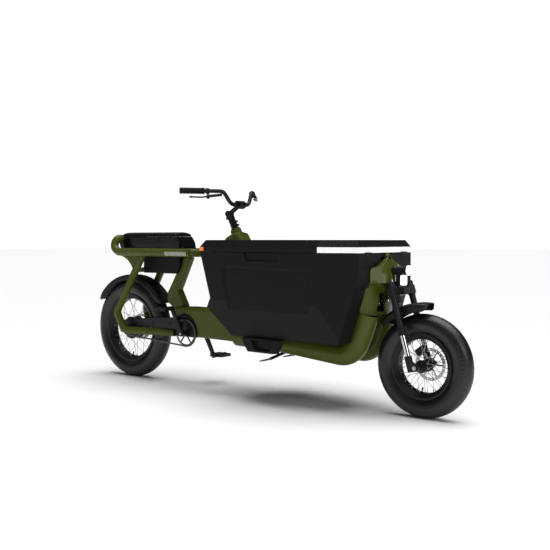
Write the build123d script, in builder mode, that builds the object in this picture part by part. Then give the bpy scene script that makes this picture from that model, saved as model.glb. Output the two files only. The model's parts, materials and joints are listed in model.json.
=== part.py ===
from build123d import *
import math
import os

os.makedirs("parts", exist_ok=True)

# Cargo bicycle with a lidded box ahead of the rider. Millimetres, +X to the front, +Y to the
# rider's left, +Z up. The origin is on the ground, midway along and across the bicycle.

# ---------------------------------------------------------------- driving dimensions
REAR_AXLE = (-984, 0, 303)
REAR_TYRE_R = 303
REAR_BEAD_R = 203
FRONT_AXLE = (1037, 0, 250)
FRONT_TYRE_R = 250
FRONT_BEAD_R = 152.5
TYRE_HALF = 50
TYRE_WALL = 5
RIM_HALF = 39
RIM_DEPTH = 22
SPOKES = 36
SPOKE_R = 1.2
AXLE_R = 6
RUNNING = 0.05
ROTOR_R = 80
ROTOR_Y = 60

CRANK_AXIS = (-484, 0, 306)
CRANK_LENGTH = 163
CRANK_ANGLE = 118
CHAIN_PITCH = 12.7
RING_TEETH = 38
COG_TEETH = 20
CHAIN_Y = -60

FORK_TILT = 16
FORK_BASE = (853.7, 0, 643)
LEG_FORWARD = 44
LEG_SIDE = 92
STEERER_R = 14.3
STANCHION_R = 13
COLUMN_TILT = 26
COLUMN_BASE = (-147.5, 0, 900)
COLUMN_R = 15

RAIL_R = 24
RAIL_Y = 130
RAIL_Z = 776
STAY_R = 22
BEAM_HALF = 52
CRADLE_R = 54
CRADLE_RISE_R = 58
CRADLE_Y = 95

BOX_HALF = 300
BOX_NOSE_HALF = 250
BOX_REAR = -142.5
BOX_CORNER = 619.5
BOX_FRONT = 821.5
BOX_TOP = 787
BOX_FLOOR = 350
BOX_WALL = 5
BOX_SIDE_WALL = 14
LID_LOW = 789
LID_EDGE = 816
LID_TOP = 850
LID_INSET = 22

IDLER_BACK = 90
COLUMN_LEVER = -636
BALL_FORWARD = -15
BALL_SIDE = -50
DRAG_SIDE = -24


# ---------------------------------------------------------------- frames of reference
def tilted(base, tilt, forward, side, along):
    """A point measured forward of, beside and up a steering axis that leans back by tilt."""
    lean = math.radians(tilt)
    x = base[0] + forward * math.cos(lean) - along * math.sin(lean)
    z = base[2] + forward * math.sin(lean) + along * math.cos(lean)
    return (x, base[1] + side, z)


def tilted_plane(base, tilt, along):
    """The plane square to a leaning axis, its x forward and its y to the left."""
    lean = math.radians(tilt)
    return Plane(
        origin=tilted(base, tilt, 0, 0, along),
        x_dir=(math.cos(lean), 0, math.sin(lean)),
        z_dir=(-math.sin(lean), 0, math.cos(lean)),
    )


def fork_at(forward, side, along):
    return tilted(FORK_BASE, FORK_TILT, forward, side, along)


def fork_plane(along):
    return tilted_plane(FORK_BASE, FORK_TILT, along)


IDLER_BASE = (FORK_BASE[0] - IDLER_BACK, 0, FORK_BASE[2])


def idler_at(forward, side, along):
    return tilted(IDLER_BASE, FORK_TILT, forward, side, along)


def column_at(forward, side, along):
    return tilted(COLUMN_BASE, COLUMN_TILT, forward, side, along)


def column_plane(along):
    return tilted_plane(COLUMN_BASE, COLUMN_TILT, along)


# ---------------------------------------------------------------- shape helpers
def rod(start, end, radius, bore=0.0):
    """A round bar between two points, with an optional hole through it."""
    run = Vector(*end) - Vector(*start)
    with BuildPart() as made:
        with BuildSketch(Plane(origin=start, z_dir=run)):
            Circle(radius)
            if bore:
                Circle(bore, mode=Mode.SUBTRACT)
        extrude(amount=run.length)
    return made.part


def across(centre, y_low, y_high, radius, bore=0.0):
    """A round bar that runs across the bicycle."""
    return rod((centre[0], y_low, centre[2]), (centre[0], y_high, centre[2]), radius, bore)


def tube(points, bends, radius, bore=0.0):
    """A round tube of straight runs joined by arcs."""
    with BuildPart() as made:
        with BuildLine() as path:
            FilletPolyline(*points, radius=bends)
        with BuildSketch(Plane(origin=path.line @ 0, z_dir=path.line % 0)):
            Circle(radius)
            if bore:
                Circle(bore, mode=Mode.SUBTRACT)
        sweep(path=path.line)
    return made.part


def side_prism(outline, y_low, y_high):
    """A flat outline in X and Z, thick from y_low to y_high."""
    with BuildPart() as made:
        with BuildSketch(Plane.XZ.offset(-y_high)):
            with BuildLine():
                Polyline(*outline, close=True)
            make_face()
        extrude(amount=y_high - y_low)
    return made.part



def block(x_low, x_high, y_low, y_high, z_low, z_high):
    """A plain block between two corners."""
    with BuildPart() as made:
        with Locations((x_low, y_low, z_low)):
            Box(x_high - x_low, y_high - y_low, z_high - z_low, align=(Align.MIN,) * 3)
    return made.part


def turned(centre, outline):
    """A ring about an axle, from an outline of radius and sideways place."""
    with BuildPart() as made:
        with BuildSketch(Plane(origin=centre)):
            with BuildLine():
                Polyline(*outline, close=True)
            make_face()
        revolve(axis=Axis(centre, (0, 1, 0)))
    return made.part


def mirrored(part):
    """The same piece on the bicycle's other side."""
    with BuildPart() as made:
        mirror(part, about=Plane.XZ)
    return made.part


def save(piece, name):
    """Label a finished piece and write its file."""
    piece.part.label = name
    export_step(piece.part, f"parts/{name}.step")


def save_pair(piece, name):
    """Write a right-hand piece and its mirror image as one file of two solids."""
    with BuildPart() as pair:
        add(piece.part)
        add(mirrored(piece.part))
    save(pair, name)


def largest(piece):
    """Only the biggest solid of a piece, once its neighbours have been cut away."""
    return piece.solids().sort_by(SortBy.VOLUME)[-1]


# ---------------------------------------------------------------- wheels
def tyre_part(axle, outer_r, bead_r):
    """A fat tyre: an open hoop with a round tread and walls that draw in to the beads."""
    mid_r = outer_r - TYRE_HALF
    inner = TYRE_HALF - TYRE_WALL
    bead_y = RIM_HALF - 4
    with BuildPart() as made:
        with BuildSketch(Plane(origin=axle)):
            with BuildLine():
                ThreePointArc((mid_r, TYRE_HALF), (outer_r, 0), (mid_r, -TYRE_HALF))
                ThreePointArc((mid_r, inner), (mid_r + inner, 0), (mid_r, -inner))
                for side in (1, -1):
                    out_y = side * bead_y
                    in_y = side * (bead_y - TYRE_WALL)
                    TangentArc((mid_r, side * TYRE_HALF), (bead_r + 9, out_y), tangent=(-1, 0))
                    TangentArc((mid_r, side * inner), (bead_r + 9, in_y), tangent=(-1, 0))
                    Polyline((bead_r + 9, out_y), (bead_r, out_y), (bead_r, in_y), (bead_r + 9, in_y))
            make_face()
        revolve(axis=Axis(axle, (0, 1, 0)))
    return made.part


def rim_part(axle, bead_r):
    """A single-wall rim with a deep well and a hooked flange each side."""
    inner_r = bead_r - RIM_DEPTH
    outline = [
        (bead_r + 7, RIM_HALF),
        (bead_r - 3, RIM_HALF),
        (inner_r, 22),
        (inner_r, -22),
        (bead_r - 3, -RIM_HALF),
        (bead_r + 7, -RIM_HALF),
        (bead_r + 7, -RIM_HALF + 3),
        (bead_r - 0.5, -RIM_HALF + 3),
        (bead_r - 0.5, -28),
        (inner_r + 4, -18),
        (inner_r + 4, 18),
        (bead_r - 0.5, 28),
        (bead_r - 0.5, RIM_HALF - 3),
        (bead_r + 7, RIM_HALF - 3),
    ]
    return turned(axle, outline)


def spoke_part(axle, flange_r, flange_y, rim_r):
    """Crossed wire spokes, from the hub's flanges to the rim's well."""
    with BuildPart() as made:
        for number in range(SPOKES):
            side = 1 if number % 2 else -1
            out = math.radians(number * 360 / SPOKES)
            lead = math.radians(42) * (1 if number % 4 < 2 else -1)
            hub = (
                axle[0] + (flange_r - 2) * math.cos(out + lead),
                side * flange_y,
                axle[2] + (flange_r - 2) * math.sin(out + lead),
            )
            rim = (
                axle[0] + (rim_r + 1) * math.cos(out),
                side * 9,
                axle[2] + (rim_r + 1) * math.sin(out),
            )
            add(rod(hub, rim, SPOKE_R))
    return made.part


def rotor_part(axle, y):
    """A slotted brake disc on a five-armed spider."""
    with BuildPart() as made:
        with BuildSketch(Plane(origin=(axle[0], y + 1, axle[2]), x_dir=(1, 0, 0), z_dir=(0, -1, 0))):
            Circle(ROTOR_R)
            Circle(ROTOR_R - 15, mode=Mode.SUBTRACT)
            with PolarLocations(ROTOR_R - 7.5, 24, start_angle=4):
                SlotOverall(9, 3.2, mode=Mode.SUBTRACT)
            Circle(24)
            with PolarLocations((ROTOR_R - 15 + 20) / 2, 6):
                Rectangle(ROTOR_R - 30, 7)
            Circle(AXLE_R + RUNNING, mode=Mode.SUBTRACT)
        extrude(amount=2)
    return made.part


with BuildPart() as rear_tyre:
    add(tyre_part(REAR_AXLE, REAR_TYRE_R, REAR_BEAD_R))
save(rear_tyre, "rear_tyre")

with BuildPart() as rear_rim:
    add(rim_part(REAR_AXLE, REAR_BEAD_R))
save(rear_rim, "rear_rim")

with BuildPart() as rear_hub:
    add(
        turned(
            REAR_AXLE,
            [
                (AXLE_R + RUNNING, -50),
                (24, -50),
                (27, -40),
                (62, -36),
                (69, -30),
                (69, -26),
                (62, -22),
                (62, 22),
                (69, 26),
                (69, 30),
                (62, 36),
                (27, 40),
                (24, ROTOR_Y - 1),
                (AXLE_R + RUNNING, ROTOR_Y - 1),
            ],
        )
    )
save(rear_hub, "rear_hub")

with BuildPart() as rear_spokes:
    add(spoke_part(REAR_AXLE, 69, 28, REAR_BEAD_R - RIM_DEPTH))
save(rear_spokes, "rear_spokes")

with BuildPart() as rear_rotor:
    add(rotor_part(REAR_AXLE, ROTOR_Y))
save(rear_rotor, "rear_rotor")

with BuildPart() as front_tyre:
    add(tyre_part(FRONT_AXLE, FRONT_TYRE_R, FRONT_BEAD_R))
save(front_tyre, "front_tyre")

with BuildPart() as front_rim:
    add(rim_part(FRONT_AXLE, FRONT_BEAD_R))
save(front_rim, "front_rim")

with BuildPart() as front_hub:
    add(
        turned(
            FRONT_AXLE,
            [
                (AXLE_R + RUNNING, -60),
                (18, -60),
                (20, -34),
                (31, -32),
                (31, -27),
                (19, -24),
                (17, 0),
                (19, 24),
                (31, 27),
                (31, 32),
                (22, 36),
                (22, ROTOR_Y - 1),
                (AXLE_R + RUNNING, ROTOR_Y - 1),
            ],
        )
    )
save(front_hub, "front_hub")

with BuildPart() as front_spokes:
    add(spoke_part(FRONT_AXLE, 31, 29.5, FRONT_BEAD_R - RIM_DEPTH))
save(front_spokes, "front_spokes")

with BuildPart() as front_rotor:
    add(rotor_part(FRONT_AXLE, ROTOR_Y))
save(front_rotor, "front_rotor")

# ---------------------------------------------------------------- seat rail and stays
RAIL_FRONT_X = -358
RAIL_HALF_PATH = [
    (RAIL_FRONT_X, 0, RAIL_Z),
    (RAIL_FRONT_X, -RAIL_Y, RAIL_Z),
    (-985, -RAIL_Y, RAIL_Z),
    (-1030, -126, 806),
    (-1022, -112, 858),
    (-1022, 0, 858),
]
with BuildPart() as seat_rail:
    half = tube(RAIL_HALF_PATH, [48, 60, 40, 35], RAIL_R, RAIL_R - 3)
    add(half)
    mirror(half, about=Plane.XZ)
save(seat_rail, "seat_rail")

STAY_TOP = (-790, -106, 768)
STAY_BEND = (-1013, -119, 408)
STAY_CORNER = (-951, -119, 300)
STAY_FRONT = (-586, -46, 300)
with BuildPart() as motor_housing:
    add(across((-498, 0, 322), -50, 50, 95))
    add(block(-600, -400, -60, 60, 200, 283), mode=Mode.SUBTRACT)
    fillet(motor_housing.edges().filter_by(GeomType.CIRCLE), radius=8)
    add(across(CRANK_AXIS, -60, 60, 10 + RUNNING), mode=Mode.SUBTRACT)

with BuildPart() as rear_stay:
    add(tube([STAY_TOP, STAY_BEND, STAY_CORNER, STAY_FRONT], [36, 32], STAY_R, STAY_R - 3))
    add(seat_rail.part, mode=Mode.SUBTRACT)
    add(motor_housing.part, mode=Mode.SUBTRACT)
    add(across((REAR_AXLE[0], 0, REAR_AXLE[2]), -97, -90, 20))
    add(
        side_prism([(-1004, 312), (-940, 322), (-940, 278), (-1000, 283)], -106, -97)
    )
    add(across(REAR_AXLE, -150, -80, AXLE_R), mode=Mode.SUBTRACT)
    add(across(REAR_AXLE, -150, -106, 12), mode=Mode.SUBTRACT)

with BuildPart() as stay_gusset:
    with BuildSketch(Plane.XZ.offset(112)):
        with BuildLine():
            Polyline((-866, 640), (-800, 745), (-800, 752), (-985, 752))
            ThreePointArc((-985, 752), (-905, 712), (-866, 640))
        make_face()
    extrude(amount=-8)
    add(rear_stay.part, mode=Mode.SUBTRACT)
    add(seat_rail.part, mode=Mode.SUBTRACT)
    add(largest(stay_gusset), mode=Mode.REPLACE)

with BuildPart() as stay_bridge:
    add(across((-855, 0, 668), -106, 106, 14))
    add(rear_stay.part, mode=Mode.SUBTRACT)
    add(mirrored(rear_stay.part), mode=Mode.SUBTRACT)
    add(stay_gusset.part, mode=Mode.SUBTRACT)
    add(mirrored(stay_gusset.part), mode=Mode.SUBTRACT)
    add(largest(stay_bridge), mode=Mode.REPLACE)

with BuildPart() as rear_stays:
    add(stay_bridge.part)
    for right in (rear_stay.part, stay_gusset.part):
        add(right)
        add(mirrored(right))
save(rear_stays, "rear_stays")

with BuildPart() as rear_axle:
    add(across(REAR_AXLE, -112, 112, AXLE_R))
    add(across(REAR_AXLE, -112, -106, 12))
    add(across(REAR_AXLE, 106, 112, 12))
save(rear_axle, "rear_axle")

# ---------------------------------------------------------------- main frame
with BuildPart() as main_beam:
    with BuildSketch(Plane.XZ):
        with BuildLine():
            Polyline(
                (-590, 350),
                (-590, 452),
                (-486, 457),
                (-110, 457),
                (-40, 440),
                (78, 345),
                (60, 300),
                (-40, 276),
                (-194, 281),
                (-508, 285),
                close=True,
            )
        make_face()
    extrude(amount=BEAM_HALF, both=True)
    fillet(main_beam.edges().filter_by(Axis.Y), radius=12)
    fillet(main_beam.faces().sort_by(Axis.Y)[0].edges(), radius=20)
    fillet(main_beam.faces().sort_by(Axis.Y)[-1].edges(), radius=20)
    add(across((-498, 0, 322), -60, 60, 96), mode=Mode.SUBTRACT)
    add(block(-620, -400, -60, 60, 200, 322), mode=Mode.SUBTRACT)
    add(block(-420, 40, -BEAM_HALF + 6, BEAM_HALF - 6, 305, 420), mode=Mode.SUBTRACT)
    add(largest(main_beam), mode=Mode.REPLACE)

with BuildPart() as seat_tube:
    with BuildSketch(Plane.XZ):
        with BuildLine():
            Polyline(
                (-479, 752),
                (-580, 554),
                (-520, 450),
                (-618, 440),
                (-674, 478),
                (-674, 532),
                (-535, 752),
                close=True,
            )
        make_face()
    extrude(amount=26, both=True)
    fillet(seat_tube.edges(), radius=13)
    add(main_beam.part, mode=Mode.SUBTRACT)
    add(largest(seat_tube), mode=Mode.REPLACE)

with BuildPart() as seat_post:
    add(seat_tube.part)
    with BuildPart(mode=Mode.PRIVATE) as crossmember:
        add(block(-560, -450, -108, 108, 752.2, 775))
        add(block(-940, -880, -108, 108, 756, 775))
        add(seat_rail.part, mode=Mode.SUBTRACT)
    add(crossmember.part)
save(seat_post, "seat_tube")

# The steering tower stands on the beam and carries the handlebar column.
TOWER_TOP = 8.5
with BuildPart() as steering_tower:
    add(rod(column_at(0, 0, -34), column_at(0, 0, TOWER_TOP), 31))
    fillet(steering_tower.edges().filter_by(GeomType.CIRCLE).sort_by(Axis.Z)[-1], radius=6)
    with BuildSketch(column_plane(-20)):
        with Locations((-20, 0)):
            Rectangle(96, 96)
        fillet(vertices(), radius=30)
    with BuildSketch(column_plane(-36)):
        with Locations((-20, 0)):
            Rectangle(130, 118)
        fillet(vertices(), radius=34)
    loft(ruled=True)
    with BuildSketch(column_plane(-36)):
        with Locations((-20, 0)):
            Rectangle(130, 118)
        fillet(vertices(), radius=34)
    with BuildSketch(column_plane(-120)):
        Rectangle(112, 112)
        fillet(vertices(), radius=34)
    with BuildSketch(column_plane(-330)):
        Rectangle(86, 90)
        fillet(vertices(), radius=30)
    with BuildSketch(column_plane(-585)):
        Rectangle(86, 90)
        fillet(vertices(), radius=30)
    loft(ruled=True)
    add(main_beam.part, mode=Mode.SUBTRACT)
    add(block(-400, 400, -200, 200, 0, 352), mode=Mode.SUBTRACT)
    add(largest(steering_tower), mode=Mode.REPLACE)
    add(rod(column_at(0, 0, 10), column_at(0, 0, -700), COLUMN_R + 2), mode=Mode.SUBTRACT)
    for top, bottom in ((TOWER_TOP - 0.5, TOWER_TOP - 22.5), (-560, -640)):
        add(rod(column_at(0, 0, top), column_at(0, 0, bottom), 24), mode=Mode.SUBTRACT)
save(steering_tower, "steering_tower")

with BuildPart() as main_beam_bored:
    add(main_beam.part)
    add(rod(column_at(0, 0, -400), column_at(0, 0, -800), 24), mode=Mode.SUBTRACT)
    add(block(60, 200, -45, 45, 296, 350), mode=Mode.SUBTRACT)
    add(largest(main_beam_bored), mode=Mode.REPLACE)
save(main_beam_bored, "main_beam")

with BuildPart() as motor_final:
    add(motor_housing.part)
    add(main_beam_bored.part, mode=Mode.SUBTRACT)
save(motor_final, "motor_housing")

# ---------------------------------------------------------------- front cradle and neck
RISE_LOW = (701, -CRADLE_Y, 272)
RISE_TOP = (786, -88, 532)
rise = (Vector(*RISE_TOP) - Vector(*RISE_LOW)).normalized()


def on_rise(distance):
    return tuple(Vector(*RISE_LOW) + rise * distance)


NECK_SECTIONS = [
    # height, rear, where the side turns, front, half width
    (482, 714, 758, 826, 142),
    (560, 734, 768, 838, 144),
    (640, 764, 790, 832, 146),
]
with BuildPart() as front_neck:
    for height, rear, turn, front, half in NECK_SECTIONS:
        with BuildSketch(Plane.XY.offset(height)):
            with BuildLine():
                Polyline((turn, -half), (rear, -half + 26), (rear, half - 26), (turn, half))
                ThreePointArc((turn, half), (front, 0), (turn, -half))
            make_face()
    loft(ruled=True)
    add(block(790, 822, -40, 40, 640, 700))
    add(rod(fork_at(0, 0, 12), fork_at(0, 0, 112), 22))
    add(rod(fork_at(0, 0, -80), fork_at(0, 0, 6), 34), mode=Mode.SUBTRACT)
    add(rod(fork_at(0, 0, 0), fork_at(0, 0, 120), STEERER_R + 2), mode=Mode.SUBTRACT)
    for top, bottom in ((18, 0), (116, 102)):
        add(rod(fork_at(0, 0, top), fork_at(0, 0, bottom), 19), mode=Mode.SUBTRACT)
    # The idler works in a pocket that opens to the front beside the centre line.
    add(block(735, 822, -72, 20, 502, 592), mode=Mode.SUBTRACT)
    add(block(800, 860, -66, -19, 502, 592), mode=Mode.SUBTRACT)
    add(rod(idler_at(0, 0, -36), idler_at(0, 0, -190), 8 + RUNNING), mode=Mode.SUBTRACT)
    add(block(690, 800, -34, -12, 470, 510), mode=Mode.SUBTRACT)
save(front_neck, "front_neck")

with BuildPart() as cradle_tube:
    cradle_path = [(-50, -CRADLE_Y, 324), (250, -CRADLE_Y, 314), RISE_LOW, on_rise(232)]
    add(tube(cradle_path, [300, 105], CRADLE_R))
    with BuildSketch(Plane(origin=on_rise(84), z_dir=rise)):
        Circle(CRADLE_R)
    with BuildSketch(Plane(origin=on_rise(140), z_dir=rise)):
        Circle(CRADLE_RISE_R)
    loft()
    add(rod(on_rise(140), on_rise(232), CRADLE_RISE_R))
    add(tube(cradle_path, [300, 105], CRADLE_R - 4), mode=Mode.SUBTRACT)
    add(front_neck.part, mode=Mode.SUBTRACT)
    add(block(690, 860, -74, 0, 481, 600), mode=Mode.SUBTRACT)
    add(main_beam.part, mode=Mode.SUBTRACT)
    add(block(-120, 200, -45, 45, 200, 420), mode=Mode.SUBTRACT)
    add(largest(cradle_tube), mode=Mode.REPLACE)

STAND_PIVOT = (375, 0, 262)
with BuildPart() as stand_lug:
    add(block(STAND_PIVOT[0] - 14, STAND_PIVOT[0] + 14, -62, -44, 250, 300))
    add(across(STAND_PIVOT, -44, 0, 7))
    add(cradle_tube.part, mode=Mode.SUBTRACT)
    add(largest(stand_lug), mode=Mode.REPLACE)

with BuildPart() as cradle_plates:
    for x, z in ((180, 336), (560, 312)):
        add(block(x, x + 40, -60, 60, z, z + 10))
    for x, z in ((120, 340), (490, 330)):
        for side in (1, -1):
            add(block(x, x + 36, side * CRADLE_Y - 20, side * CRADLE_Y + 20, z, 383.9))
    add(cradle_tube.part, mode=Mode.SUBTRACT)
    add(mirrored(cradle_tube.part), mode=Mode.SUBTRACT)

with BuildPart() as cradle:
    add(cradle_plates.part)
    for right in (cradle_tube.part, stand_lug.part):
        add(right)
        add(mirrored(right))
save(cradle, "cradle_tubes")

# ---------------------------------------------------------------- cargo box
SIDE_OUTLINE = [
    (BOX_REAR, BOX_TOP),
    (-71.5, 543),
    (-100.5, 494),
    (54.5, BOX_FLOOR),
    (718, BOX_FLOOR),
    (806, 618),
    (BOX_FRONT, 626),
    (BOX_FRONT, BOX_TOP),
]
PLAN_OUTLINE = [
    (BOX_REAR, -BOX_HALF),
    (BOX_CORNER, -BOX_HALF),
    (BOX_FRONT, -BOX_NOSE_HALF),
    (BOX_FRONT, BOX_NOSE_HALF),
    (BOX_CORNER, BOX_HALF),
    (BOX_REAR, BOX_HALF),
]
END_OUTLINE = [
    (-BOX_HALF, 830),
    (-BOX_HALF, 533),
    (-268, 340),
    (268, 340),
    (BOX_HALF, 533),
    (BOX_HALF, 830),
]


def box_body(wall, side_wall, top):
    """The tub's outer or inner form: side, plan and end outlines cut from one block."""
    raised = [(x, top if z == BOX_TOP else z) for x, z in SIDE_OUTLINE]
    with BuildPart() as made:
        with BuildSketch(Plane.XZ):
            with BuildLine():
                Polyline(*raised, close=True)
            make_face()
            if wall:
                offset(amount=-wall, kind=Kind.INTERSECTION)
        extrude(amount=BOX_HALF - side_wall, both=True)
        with BuildSketch(Plane.XY.offset(300)):
            with BuildLine():
                Polyline(*PLAN_OUTLINE, close=True)
            make_face()
            if wall:
                offset(amount=-wall, kind=Kind.INTERSECTION)
        extrude(amount=600, mode=Mode.INTERSECT)
        with BuildSketch(Plane.YZ.offset(-300)):
            with BuildLine():
                Polyline(*END_OUTLINE, close=True)
            make_face()
            if side_wall:
                offset(amount=-side_wall, kind=Kind.INTERSECTION)
        extrude(amount=1400, mode=Mode.INTERSECT)
    return made.part


def tunnel(grow):
    """Room for the steering tower at the back and for the frame below and in front."""
    with BuildPart() as made:
        add(
            side_prism(
                [(-260, 900), (18 + grow, 860), (226 + grow, 384 + grow), (226 + grow, 300), (-260, 300)],
                -78 - grow,
                78 + grow,
            )
        )
        add(block(-200, 760, -158 - grow, 158 + grow, 300, 384 + grow))
        add(
            side_prism(
                [
                    (628 - grow, 300),
                    (628 - grow, 384 + grow),
                    (746 - grow, 712 + grow),
                    (900, 712 + grow),
                    (900, 300),
                ],
                -158 - grow,
                158 + grow,
            )
        )
        add(block(772 - grow, 900, -46 - grow, 46 + grow, 700, 768 + grow))
    return made.part


with BuildPart() as cargo_box:
    add(box_body(0, 0, BOX_TOP))
    add(tunnel(0), mode=Mode.SUBTRACT)
    with BuildPart(mode=Mode.PRIVATE) as hollow:
        add(box_body(BOX_WALL, BOX_SIDE_WALL, 900))
        add(tunnel(BOX_WALL), mode=Mode.SUBTRACT)
    add(hollow.part, mode=Mode.SUBTRACT)
    # A shallow panel in each side, and a finger notch under the lid.
    for side in (1, -1):
        face = Plane(origin=(0, side * BOX_HALF, 0), x_dir=(side * -1, 0, 0), z_dir=(0, side, 0))
        with BuildSketch(face):
            with BuildLine():
                Polyline(
                    *[
                        (-side * x, z)
                        for x, z in (
                            (5, 696),
                            (45, 500),
                            (110, 425),
                            (462, 415),
                            (470, 400),
                            (560, 400),
                            (590, 700),
                            (40, 714),
                        )
                    ],
                    close=True,
                )
            make_face()
        extrude(amount=-7, mode=Mode.SUBTRACT, taper=40)
        with BuildSketch(face):
            with BuildLine():
                Polyline(
                    *[(-side * x, z) for x, z in ((151, 800), (177, 744), (384, 744), (410, 800))],
                    close=True,
                )
            make_face()
        extrude(amount=-9, mode=Mode.SUBTRACT)
save(cargo_box, "cargo_box")

with BuildPart() as box_step:
    with BuildSketch(Plane.XZ.offset(252)):
        with BuildLine():
            Polyline((138, 349.8), (184, 277), (352, 276), (392, 349.8), close=True)
        make_face()
    extrude(amount=48, taper=4)
    with BuildSketch(Plane.XZ.offset(301)):
        with BuildLine():
            Polyline((204, 342), (232, 288), (330, 288), (352, 342), close=True)
        make_face()
    extrude(amount=-20, mode=Mode.SUBTRACT, taper=20)
save_pair(box_step, "box_steps")


def lid_form(inset, base, edge, top):
    """A lid-shaped block: an upright band and a sloping shoulder."""
    with BuildPart() as made:
        with BuildSketch(Plane.XY.offset(base)):
            with BuildLine():
                Polyline(*PLAN_OUTLINE, close=True)
            make_face()
            if inset:
                offset(amount=-inset, kind=Kind.INTERSECTION)
        extrude(amount=edge - base)
        with BuildSketch(Plane.XY.offset(edge)):
            with BuildLine():
                Polyline(*PLAN_OUTLINE, close=True)
            make_face()
            if inset:
                offset(amount=-inset, kind=Kind.INTERSECTION)
        with BuildSketch(Plane.XY.offset(top)):
            with BuildLine():
                Polyline(*PLAN_OUTLINE, close=True)
            make_face()
            offset(amount=-inset - LID_INSET, kind=Kind.INTERSECTION)
        loft()
    return made.part


with BuildPart() as band_room:
    with BuildSketch(Plane.XY.offset(LID_LOW)):
        with BuildLine():
            Polyline(*PLAN_OUTLINE, close=True)
        make_face()
        offset(amount=-3, kind=Kind.INTERSECTION, mode=Mode.PRIVATE)
        with BuildLine():
            Polyline(
                (BOX_REAR, -BOX_HALF + 3),
                (BOX_CORNER, -BOX_HALF + 3),
                (BOX_FRONT - 3, -BOX_NOSE_HALF + 3),
                (BOX_FRONT - 3, BOX_NOSE_HALF - 3),
                (BOX_CORNER, BOX_HALF - 3),
                (BOX_REAR, BOX_HALF - 3),
                close=True,
            )
        make_face(mode=Mode.SUBTRACT)
        with Locations((BOX_CORNER - 500, 0)):
            Rectangle(1000, 700, mode=Mode.SUBTRACT)
    extrude(amount=LID_EDGE - LID_LOW)

TOWER_NOTCH = [(-260, 700), (20, 700), (20, 900), (-260, 900)]
with BuildPart() as lid_shell:
    add(lid_form(0, LID_LOW, LID_EDGE, LID_TOP))
    add(lid_form(4, LID_LOW - 1, LID_EDGE - 2, LID_TOP - 4), mode=Mode.SUBTRACT)
    for side in (1, -1):
        add(block(-142, 16, side * 84 - 3, side * 84 + 3, LID_LOW + 1, LID_TOP - 3))
    add(block(12, 18, -84, 84, LID_LOW + 1, LID_TOP - 3))
    add(side_prism(TOWER_NOTCH, -81, 81), mode=Mode.SUBTRACT)
    add(block(12, 18, -84, 84, LID_LOW + 1, LID_TOP - 3))
    add(block(-142.5, 12, -81, 81, 700, 900), mode=Mode.SUBTRACT)
    add(band_room.part, mode=Mode.SUBTRACT)
save(band_room, "lid_band")

HINGE_X = BOX_FRONT + 4.4
HINGE_Z = BOX_TOP + 1
HINGE_Y = (-172, 172)
KNUCKLE_R = 4
HINGE_PIN_R = 1.5
with BuildPart() as box_hinges:
    for y in HINGE_Y:
        add(block(BOX_FRONT, BOX_FRONT + 1.6, y - 12, y + 12, HINGE_Z - 16, HINGE_Z))
        add(rod((HINGE_X, y - 12, HINGE_Z), (HINGE_X, y + 12, HINGE_Z), KNUCKLE_R))
        add(rod((HINGE_X, y - 26, HINGE_Z), (HINGE_X, y + 26, HINGE_Z), HINGE_PIN_R))
        add(block(810, BOX_FRONT, y - 30, y + 30, HINGE_Z - 30, 800), mode=Mode.SUBTRACT)
save(box_hinges, "box_hinges")

with BuildPart() as hinged_lid:
    add(lid_shell.part)
    for y in HINGE_Y:
        for side in (1, -1):
            low, high = sorted((y + side * 13, y + side * 25))
            add(rod((HINGE_X, low, HINGE_Z), (HINGE_X, high, HINGE_Z), KNUCKLE_R))
            add(block(BOX_FRONT - 8, HINGE_X, low, high, LID_LOW - 1.2, LID_LOW))
        bore = rod((HINGE_X, y - 30, HINGE_Z), (HINGE_X, y + 30, HINGE_Z), HINGE_PIN_R + RUNNING)
        add(bore, mode=Mode.SUBTRACT)
save(hinged_lid, "lid_shell")

with BuildPart() as side_reflectors:
    for side in (1, -1):
        with BuildPart(mode=Mode.PRIVATE) as lamp:
            add(
                side_prism(
                    [(-143, 793), (-118, 793), (-118, 813), (-143, 813)],
                    side * 302 - 2,
                    side * 302 + 2,
                )
            )
        add(lamp.part)
save(side_reflectors, "side_reflectors")

# ---------------------------------------------------------------- nose, lamps
def nose_form(shrink):
    """The hood over the steering head: a flat-based hat with a leaning ridge."""
    half = 152 - shrink
    with BuildPart() as made:
        with BuildSketch(Plane.YZ.offset(800)):
            with BuildLine():
                Polyline((-half, 700), (-half, 641), (half, 641), (half, 700))
                ThreePointArc((half, 700), (half - 8, 712), (half - 26, 718 - shrink))
                ThreePointArc((half - 26, 718 - shrink), (54, 740 - shrink), (17, 764 - shrink))
                Polyline(
                    (17, 764 - shrink), (5, 786 - shrink), (-5, 786 - shrink), (-17, 764 - shrink)
                )
                ThreePointArc((-17, 764 - shrink), (-54, 740 - shrink), (-half + 26, 718 - shrink))
                ThreePointArc((-half + 26, 718 - shrink), (-half + 8, 712), (-half, 700))
            make_face()
        extrude(amount=100)
        with BuildSketch(Plane.XZ):
            with BuildLine():
                Polyline(
                    (BOX_FRONT + 1, 641),
                    (BOX_FRONT + 1, 786),
                    (838 - shrink, 786),
                    (856 - shrink, 700),
                    (866 - shrink, 641),
                    close=True,
                )
            make_face()
        extrude(amount=200, both=True, mode=Mode.INTERSECT)
        with BuildSketch(Plane.XY.offset(600)):
            with BuildLine():
                Polyline((825, 160), (800, 160), (800, -160), (825, -160))
                ThreePointArc((825, -160), (852 - shrink, -60), (867 - shrink, 0))
                ThreePointArc((867 - shrink, 0), (852 - shrink, 60), (825, 160))
            make_face()
        extrude(amount=260, mode=Mode.INTERSECT)
    return made.part


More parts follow.
